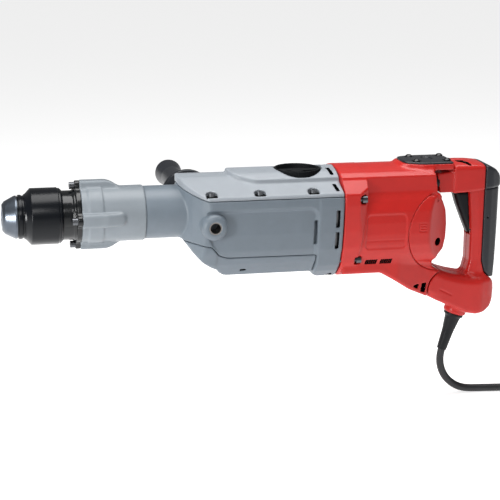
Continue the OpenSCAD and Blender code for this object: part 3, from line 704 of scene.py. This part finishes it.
def build_top_cover():
    block = Block((19, -60, 20), (214, 60, 52), 1.1, fine_z=[(20, 34, 0.6)], fine_x=[(199, 212, 0.65)])
    x, y, z = block.x, block.y, block.z
    wide = np.abs(y)
    plan = outline(CASE_PLAN, x, y)
    f = meet(outline(COVER_SECTION, y, z), meet(plan, x - SEAM_X + SEAM_GAP, 0.8), 1.2)
    bump_plan = outline([(CASE_END, -32.5), (CASE_END, 32.5), (112, 32.5, 40), (81, 18, 22), (81, -18, 22),
                         (112, -32.5, 40)], x, y)
    f = join(f, meet(outline(BUMP_SECTION, y, z), bump_plan, 1.8), 2.2)
    f = meet(f, outline(SPLIT_LINE, y, z), 0.5)
    f = cut(f, meet(rod(x, y, KNOB, KNOB_HOLE_R), 34.5 - z), 0.8)
    floors = 9.0
    for place_xy in COVER_SCREWS:
        side = math.copysign(1, place_xy[1])
        open_side = np.maximum(np.abs(x - place_xy[0]) - SCREW_POCKET_R,
                               abs(place_xy[1]) - side * y)
        pocket = np.minimum(rod(x, y, place_xy, SCREW_POCKET_R), open_side)
        f = cut(f, meet(pocket, 26.2 - z, 0.8), 0.4)
        floors = np.minimum(floors, meet(meet(pocket + 0.4, bar(z, 25, 26.9)), wide - 55.2))
    inner_vent = outline([(201.8, 9, 0.8), (205.8, 9, 0.8), (208.2, 26, 0.8), (204.2, 26, 0.8)], x, wide)
    outer_vent = outline([(203.5, 37, 0.8), (207.5, 37, 0.8), (209.2, 51, 0.8), (205.2, 51, 0.8)], x, wide)
    vents = np.minimum(inner_vent, outer_vent)
    vents = meet(vents, 24 - z)
    well = meet(rod(x, y, KNOB, KNOB_HOLE_R + 0.3), 45 - z)
    f = cut(f, vents, 0.25)
    # The top cover takes the paler copy of the one grey paint, which is painted light from above.
    return shell("top_case", block, f, lit_cast_grey, "hammer_body", "light_grey_cast", "top_cover",
                 dark=np.minimum(np.minimum(vents, floors), meet(well, bar(z, 30, 38))))


def build_knob():
    block = Block((KNOB[0] - 30, -30, 33), (KNOB[0] + 30, 30, 55), 0.8)
    x, y, z = block.x - KNOB[0], block.y, block.z
    r = np.hypot(x, y)
    angle = np.arctan2(y, x)
    rim = 28.5 - 0.35 * (1 + np.cos(angle * 60))
    f = meet(r - rim, bar(z, 35.3, 48.1), 1.0)
    f = cut(f, meet(r - 25.6 - (z - 48) * 0.3, 41 - z, 2), 0.8)
    grip = meet(capsule(x, y, (-20, 0), (20, 0), 5.2), bar(z, 38, 46.2), 1.8)
    f = join(f, grip, 1.5)
    f = join(f, meet(r - 9, bar(z, 38, 45.6), 2), 1.5)
    return shell("mode_knob", block, f, knob_black, "selector", "black_plastic", "selector_knob")


# ---------------------------------------------------------------- side handle

def build_side_handle():
    profile = [(66.3, 6.3), (66.3, 13, 1), (76, 12.4, 4), (112, 14, 10), (119, 20, 8), (121.5, 32.2, 2),
               (125, 33, 1.5), (128, 31, 3), (133, 19, 10), (143, 15, 20), (190, 15.6, 60), (236, 14.4, 30),
               (255, 17, 12), (264.5, 18.2, 3), (271.4, 17, 3), (271.8, 9, 2), (270.4, 7, 1), (270.4, 0)]
    profile += [(112, 0), (112, 6.3)]
    return lathe("side_grip", profile, black_rubber, "hammer_body", "black_plastic", "side_handle_grip",
                 along=(0, 1, 0), centre=(BOSS[0], 0, BOSS[1]), steps=72)


# ---------------------------------------------------------------- motor end

MOTOR_SECTION = mirrored([(0, 24), (40, 21), (46, 12, 16), (50.2, 0, 16), (52, -14, 16), (52.4, -28, 20),
                          (51, -42, 20), (47, -54, 14), (38, -66, 14), (20, -74, 10), (0, -76)])
SPINE_SECTION = mirrored([(0, 50), (15, 48.7, 30), (31, 45, 10), (39.6, 41.2, 1.2), (40.2, 21, 1),
                          (40, 8), (0, 8)])
COLLAR_SECTION = mirrored([(0, 50), (15, 48.7, 30), (31, 44.5, 10), (40.5, 38.6, 1.4), (58, 24.5, 1.4),
                           (58.9, 11, 12), (58.1, -3, 20), (56.5, -21, 30), (53.1, -42, 20), (45.1, -64, 12),
                           (37.1, -73, 8), (24.5, -83, 6), (0, -84)])
ARM_SIDE = [(216, -50), (216, -78.5), (266, -78.5, 10), (284, -88.8, 60), (306, -103.5, 60), (345, -122),
            (362, -122), (362, -85), (351.4, -84.6), (348, -83.2, 3), (338.5, -77.5, 7), (334.6, -68, 3),
            (336, -56), (216, -50)]
ARM_PLAN = mirrored([(42.8, 216), (42.8, 288, 20), (33, 318, 40), (28.5, 334, 20), (27.5, 352)])
CAP_SIDE = [(284, -110), (350, -110), (350, -80.8, 1), (338.5, -73, 5), (335.8, -66, 5), (341.5, -59.5, 4),
            (350, -54.5, 6), (354.4, -41, 14), (355.4, -24, 20), (352.8, -6, 16), (347, 6, 6), (342.5, 12, 2),
            (341.5, 15, 1), (284, 24)]
FOOT_SEAM = (359.6, -109.5)
FOOT_SEAM_R = 26.4
CAP_PLAN = mirrored([(54, 284), (54, 321.5, 2), (24, 355.6, 6), (0, 356.4)])


def foot_region(x, z):
    """Behind the curved seam between the motor housing's arm and the foot of the handle."""
    return meet(np.minimum(rod(x, z, FOOT_SEAM, FOOT_SEAM_R), FOOT_SEAM[0] - x), z + 80)


def spine_shape(x, y, z):
    side = outline([(MOTOR_START, 8), (MOTOR_START, 60), (SPINE_END - 0.5, 60), (SPINE_END, 44),
                    (336.6, 17.6), (340.4, 17.4), (340.4, 12), (337, 8)], x, z)
    return meet(outline(SPINE_SECTION, y, z), side, 0.8)


def body_and_arm(x, y, z, start, end, edge):
    """The motor's barrel from start to end, and the arm that runs down to the foot."""
    body = meet(outline(MOTOR_SECTION, y, z), bar(x, start, end), edge)
    return join(body, meet(outline(ARM_SIDE, x, z), outline(ARM_PLAN, y, x), 4), 5)


def motor_shape(x, y, z):
    """The red housing before it is divided from its rear cap."""
    f = body_and_arm(x, y, z, MOTOR_START, 352, 1)
    f = cut(f, foot_region(x, z) - HANDLE_GAP, 0.4)
    f = join(f, spine_shape(x, y, z), 0.8)
    collar_plan = mirrored([(60, MOTOR_START), (60, 233), (57.4, 234.6, 1), (50.5, 245, 1), (40.4, 246.2, 1),
                            (0, 246.2)])
    collar_side = outline([(MOTOR_START, 60), (247, 60), (247, 20), (243, 0), (238.6, -30), (235, -60),
                           (233, -90), (MOTOR_START, -90)], x, z)
    collar = meet(meet(outline(COLLAR_SECTION, y, z), outline(collar_plan, y, x), 0.8), collar_side, 0.8)
    return join(f, collar, 1)


def cap_region(x, z):
    return rod(x, z, CAP_CENTRE, CAP_R)


def build_motor_housing():
    block = Block((213, -60, -113), (361, 60, 54), 1.15, fine_x=[(244, 282, 0.6)], fine_z=[(-67, -59, 0.6)])
    x, y, z = block.x, block.y, block.z
    wide = np.abs(y)
    f = motor_shape(x, y, z)
    f = meet(f, np.minimum(0.3 - cap_region(x, z), spine_shape(x, y, z) - 0.1), 0.3)
    plan = mirrored([(27.7, 360), (27.7, 322, 14), (20, 298, 12), (0, 296)])
    deck = meet(outline(plan, y, x), bar(z, 44, 51.2), 0.8)
    f = join(f, deck, 6)
    panel = outline([(245, -3.5, 5), (294.5, -3.5, 5), (294, -46, 5), (243, -46, 5)], x, z)
    f = cut(f, meet(panel, -1.1 - f), 0.4)
    strip = meet(np.abs(z + 35.5) - 0.5, panel + 1)
    f = cut(f, meet(strip, -0.8 - f), 0.2)
    vents = np.full(np.broadcast_shapes(x.shape, z.shape), 9.0)
    for first in VENT_STARTS:
        for k in range(VENTS_EACH):
            left = first + VENT_PITCH * k
            slot = [(left - 1.8, -66, 0.3), (left - 0.1, -66, 0.3), (left + 1.8, -60.4, 0.3),
                    (left + 0.1, -60.4, 0.3)]
            vents = np.minimum(vents, outline(slot, x, z))
    vents = meet(vents, 39 - wide)
    tri = outline([(309.5, -99, 1), (319.5, -97, 1), (317.2, -103.4, 1)], x, z)
    para = outline([(323.7, -97.2, 1), (330, -97, 1), (328, -109, 1), (321.7, -107.6, 1)], x, z)
    holes = meet(np.minimum(tri, para), 20 - wide)
    f = cut(cut(f, vents, 0.15), holes, 0.4)
    sockets = np.minimum(meet(rod(wide, z, (53, 17), 5.6), bar(x, 233.5, 243)),
                         meet(rod(wide, z, (43, -59.5), 5.8), bar(x, 231.5, 239.5)))
    f = cut(f, sockets, 0.4)
    tab = meet(outline([(330, 7), (343.6, 7), (344, 14, 1), (330, 14)], x, z), wide - 35, 0.5)
    f = join(f, tab, 0.5)
    return shell("motor_case", block, f, red_plastic, "hammer_body", "red_plastic", "motor_housing",
                 dark=np.minimum(vents, holes))


def build_rear_cap():
    block = Block((295, -55, -86), (360, 55, 26), 1.0, fine_x=[(309, 322, 0.5), (333, 346, 0.5)],
                  fine_z=[(-49, -37, 0.5), (-27, -15, 0.5)])
    x, y, z = block.x, block.y, block.z
    f = body_and_arm(x, y, z, 280, 362, 0.5)
    f = meet(f, outline(CAP_SIDE, x, z), 3)
    f = meet(f, outline(CAP_PLAN, y, x), 2.0)
    f = meet(f, cap_region(x, z), 0.5)
    f = cut(f, spine_shape(x, y, z) - 0.35)
    hole = meet(rod(x, z, (339.2, -43), 4.7), 26 - np.abs(y))
    f = cut(f, hole, 0.5)
    across, up = np.abs(x - CAP_MARK[0]), np.abs(z - CAP_MARK[1])
    lines = np.minimum(np.abs(np.maximum(across, up) - 4.8), np.maximum(np.abs(up - 1.6), across - 3)) - 0.5
    f = cut(f, meet(lines, -0.7 - f), 0.1)
    return shell("rear_case", block, f, red_plastic, "hammer_body", "red_plastic", "rear_cap", dark=hole)


def build_top_plate():
    block = Block((296, -30, 49), (363, 30, 58), 0.8)
    x, y, z = block.x, block.y, block.z
    plan = mirrored([(26.6, 360.4, 2), (26.6, 322, 14), (18, 300, 12), (0, 298.5)])
    crown = 54.6 - (y / 26) ** 2 * 1.2
    f = meet(outline(plan, y, x), meet(z - crown, 50.8 - z), 1.3)
    for place_xy in PLATE_SCREWS:
        f = cut(f, meet(rod(x, y, place_xy, 6.2), 53.2 - z), 0.5)
    f = cut(f, meet(capsule(x, y, (334, -4), (334, 4), 6), 53 - z), 0.8)
    return shell("deck_plate", block, f, black_rubber, "hammer_body", "black_rubber", "top_plate")


def build_dome_screws():
    """Round-headed screws that stand for the part's plain ones."""
    for k, (x, y) in enumerate(PLATE_SCREWS):
        profile = [(52.5, 0), (52.5, 4.7, 0.3), (54.6, 4.7, 1.2), (56.4, 2.6, 1.5), (56.6, 1.5, 0.2),
                   (54.8, 1.3), (54.8, 0)]
        nodes = ["plate_screws"] if k == 0 else []
        lathe(f"dome_screw_{k}", profile, gloss_black, "hammer_body", "screw", *nodes, along=(0, 0, 1),
              centre=(x, y, 0), steps=32)


# ---------------------------------------------------------------- rear handle

CONNECTOR_SIDE = [(344.6, 14.9), (341, 38.4, 1.5), (364, 41), (364, 14.9)]
BLOCK_SIDE = [(BLOCK_X, 13.6, 2), (BLOCK_X, 51.8, 3), (376, 52.6, 20), (388, 51.6, 30), (CAP_X, 48.2),
              (CAP_X, 17), (384, 14.6, 10)]
COLUMN_SIDE = [(385, 20), (388.2, -16, 40), (390.5, -45, 30), (390.6, -76, 20), (387, -93, 10), (372, -101),
               (372, -116), (414, -116), (414, -99), (409.5, -90, 8), (405.8, -76, 14), (405.6, 20)]
FOOT_SIDE = [(325, -112.6), (325, -80), (345, -80), (350, -83.6), (358, -87.3, 30), (370, -91, 30),
             (384, -94, 10), (400, -96, 20), (419, -98.5, 6), (426, -103.5, 6), (428.4, -114, 10),
             (426, -127, 12), (420, -136.5, 9),
             (411, -142, 9), (399, -143.5, 6), (385, -141)]


def handle_crown(y, z):
    """Above the domed top that the handle and its hood share."""
    return (z - 52.6 + (y / 27) ** 2 * 6.0) / 1.1


def handle_shape(x, y, z):
    wide = np.abs(y)
    connector = meet(outline(CONNECTOR_SIDE, x, z), wide - 24.2, 1.2)
    upper = meet(outline(BLOCK_SIDE, x, z), wide - 26.5, 3)
    upper = meet(upper, handle_crown(y, z), 4)
    front = np.interp(z, (-92, -76, -45, -16, 20), (387, 390.6, 390.5, 388.2, 385))
    column_plan = mirrored([(17.6, 60), (17.6, 11, 9), (13.2, 1, 6), (0, 0)])
    column = meet(outline(COLUMN_SIDE, x, z), outline(column_plan, y, x - front), 1.5)
    foot_plan = mirrored([(28.6, 320), (27.4, 352, 40), (26.6, 404, 18), (17.5, 423.5, 13), (0, 429)])
    side, plan = outline(FOOT_SIDE, x, z), outline(foot_plan, y, x)
    soft = np.clip((z + 122) / 12, 0, 1) * np.clip((412 - x) / 20, 0, 1)
    foot = meet(side, plan, 5) * (1 - soft) + meet(side, plan, 10) * soft
    foot = meet(foot, foot_region(x, z), 0.4)
    strip = capsule(x, z, (349, -107.5), (364.5, -115.5), 0.8)
    foot = cut(foot, meet(strip, meet(24 - wide, -0.5 - foot)), 0.1)
    f = join(join(connector, upper, 1), join(column, foot, 7), 2)
    a = (x - EXIT.x) * math.cos(EXIT_TILT) - (z - EXIT.z) * math.sin(EXIT_TILT)
    h = (x - EXIT.x) * math.sin(EXIT_TILT) + (z - EXIT.z) * math.cos(EXIT_TILT)
    collar = meet(np.hypot(a, y) - 14.2, bar(h, 0, 16), 2.2)
    return join(f, collar, 2.5)


def build_handle(name, side, node_name):
    slot_y = [(-25, 0, 0.6)] if side < 0 else []
    block = Block((331, min(side * 30, 0), -149), (431, max(side * 30, 0), 55), 1.0,
                  fine_x=[(368, 387, 0.6)], fine_y=slot_y)
    x, y, z = block.x, block.y, block.z
    f = handle_shape(x, y, z)
    crescent = outline([(369.6, -4.5, 1), (377.5, -5, 10), (383.2, -12.4, 12), (385, -23.5, 1),
                        (381.5, -23, 1), (376.4, -16.5, 12), (370, -9.5, 3)], x, y)
    crescent = meet(crescent, 44 - z)
    f = cut(f, crescent, 0.5)
    f = cut(f, meet(meet(bar(x, 362, 404), np.abs(y) - 9.5), bar(z, -42.9, 19)), 0.4)
    f = cut(f, outline(GRIP_SIDE, x, z) - 0.1)
    f = meet(f, -side * y)
    f = cut(f, meet(np.abs(y) - 0.35, -0.9 - f))
    return shell(name, block, f, red_plastic, "rear_handle", "red_plastic", node_name, dark=crescent)


GRIP_SIDE = [(405.9, 17.6, 1), (429.5, 18.6, 2), (428.6, -30, 60), (426.6, -75, 40), (424.6, -98.6, 2),
             (416.5, -97.6, 8), (409.9, -90, 8), (406.1, -76, 14)]


def build_rubber_grip():
    block = Block((405, -20, -99), (431, 20, 20), 0.9)
    x, y, z = block.x, block.y, block.z
    f = meet(outline(GRIP_SIDE, x, z), outline(mirrored([(18.2, 400), (18.4, 414, 8), (12.5, 426, 9),
                                                         (0, 430.6)]), y, x), 3)
    f = groove(f, y, 0.7, 0.5)
    for side in (-1, 1):
        f = cut(f, meet(rod(x, z, (411.5, -20), 1.2), 14 - side * y), 0.2)
    return shell("grip_pad", block, f, black_rubber, "rear_handle", "black_rubber", "rubber_grip")


def build_grip_cap():
    block = Block((401, -28, 10), (432, 28, 53), 0.9)
    x, y, z = block.x, block.y, block.z
    side = outline([(CAP_X + 0.3, 17.4), (CAP_X + 0.3, 48.3), (409, 46.8, 20), (418.5, 41.5, 20),
                    (426.5, 33, 14), (429.4, 26, 5), (429.4, 19.6, 2), (424, 18.4, 4)], x, z)
    plan = outline(mirrored([(26.5, 400), (25.8, 412, 16), (18, 426.5, 11), (0, 429.8)]), y, x)
    f = meet(side, plan, 3.5)
    f = meet(f, handle_crown(y, z), 4)
    return shell("grip_hood", block, f, black_rubber, "rear_handle", "black_rubber", "grip_cap")


def build_trigger():
    block = Block((365, -11, -44), (398, 11, 15), 0.8)
    x, y, z = block.x, block.y, block.z
    side = outline([(368.4, 13.2, 1.5), (373.8, -4, 60), (382, -24, 60), (389.2, -40.6, 1.5),
                    (393.8, -41.5, 1), (396, -30), (396, 13.2)], x, z)
    f = meet(side, np.abs(y) - 9, 6)
    return shell("trigger_lever", block, f, black_plastic, "trigger", "black_plastic", "trigger")


for build in (build_dust_cap, build_nose_ring, build_sleeve, build_flange, build_front_housing,
              build_gear_housing, build_lower_cover, build_top_cover, build_knob, build_side_handle,
              build_motor_housing, build_rear_cap, build_top_plate, build_dome_screws, build_rubber_grip,
              build_grip_cap, build_trigger):
    build()
build_handle("handle_shell_far", 1, "handle_left")
build_handle("handle_shell_near", -1, "handle_right")


# ---------------------------------------------------------------- studio

def add_floor():
    mesh = bpy.data.meshes.new("studio_floor")
    reach = 40
    level = FLOOR_Z * MM - 0.0002
    corners = [(-reach, -reach, level), (reach, -reach, level), (reach, reach, level), (-reach, reach, level)]
    mesh.from_pydata(corners, [], [(0, 1, 2, 3)])
    pale = finish("floor_with_painted_glow", (0.86, 0.86, 0.86), 0.9, vary=0.01, grain=300, depth=0.00002, specular=0.1)
    shader = pale.node_tree.nodes["Principled BSDF"]
    # Painted light: the floor emits light, brightest under and behind the tool, dim in a band just in front of
    # it and brighter again far in front, and this emission lights the tool from below.
    shader.inputs["Emission Color"].default_value = (1, 1, 1, 1)
    tree = pale.node_tree
    where = tree.nodes.new("ShaderNodeSeparateXYZ")
    tree.links.new(tree.nodes.new("ShaderNodeTexCoord").outputs["Object"], where.inputs["Vector"])
    painted_floor_light = node(tree, "ShaderNodeMath")
    painted_floor_light.operation = "MAXIMUM"
    tree.links.new(spread(tree, where.outputs["Y"], 0.12, 0.68, -0.62, -0.12), painted_floor_light.inputs[0])
    tree.links.new(spread(tree, where.outputs["Y"], 0.5, 0.12, -2.6, -1.0), painted_floor_light.inputs[1])
    tree.links.new(painted_floor_light.outputs["Value"], shader.inputs["Emission Strength"])
    mesh.materials.append(pale)
    floor = bpy.data.objects.new("studio_floor", mesh)
    bpy.context.scene.collection.objects.link(floor)


def add_light(name, at, aim, size, power, spread_angle=180):
    light = bpy.data.objects.new(name, bpy.data.lights.new(name, "AREA"))
    light.data.shape = "RECTANGLE"
    light.data.size, light.data.size_y = size
    light.data.energy = power
    light.data.spread = math.radians(spread_angle)
    light.location = at
    light.rotation_euler = (Vector(aim) - Vector(at)).to_track_quat("-Z", "Y").to_euler()
    bpy.context.scene.collection.objects.link(light)


def add_studio():
    bpy.context.scene.view_settings.view_transform = "Standard"
    world = bpy.data.worlds.new("studio")
    world.use_nodes = True
    world.node_tree.nodes["Background"].inputs["Color"].default_value = (1, 1, 1, 1)
    world.node_tree.nodes["Background"].inputs["Strength"].default_value = 0.2
    bpy.context.scene.world = world
    centre = (0.12, 0, -0.03)
    add_light("overhead", (0.1, 0.05, 1.2), centre, (1.8, 0.8), 22)
    add_light("front_fill", (-0.4, -1.9, 1.3), centre, (0.8, 0.5), 9)
    add_light("nose_side", (-1.1, -0.82, 0.1), (-0.16, 0, 0), (0.3, 0.5), 0.8, 40)


add_floor()
add_studio()
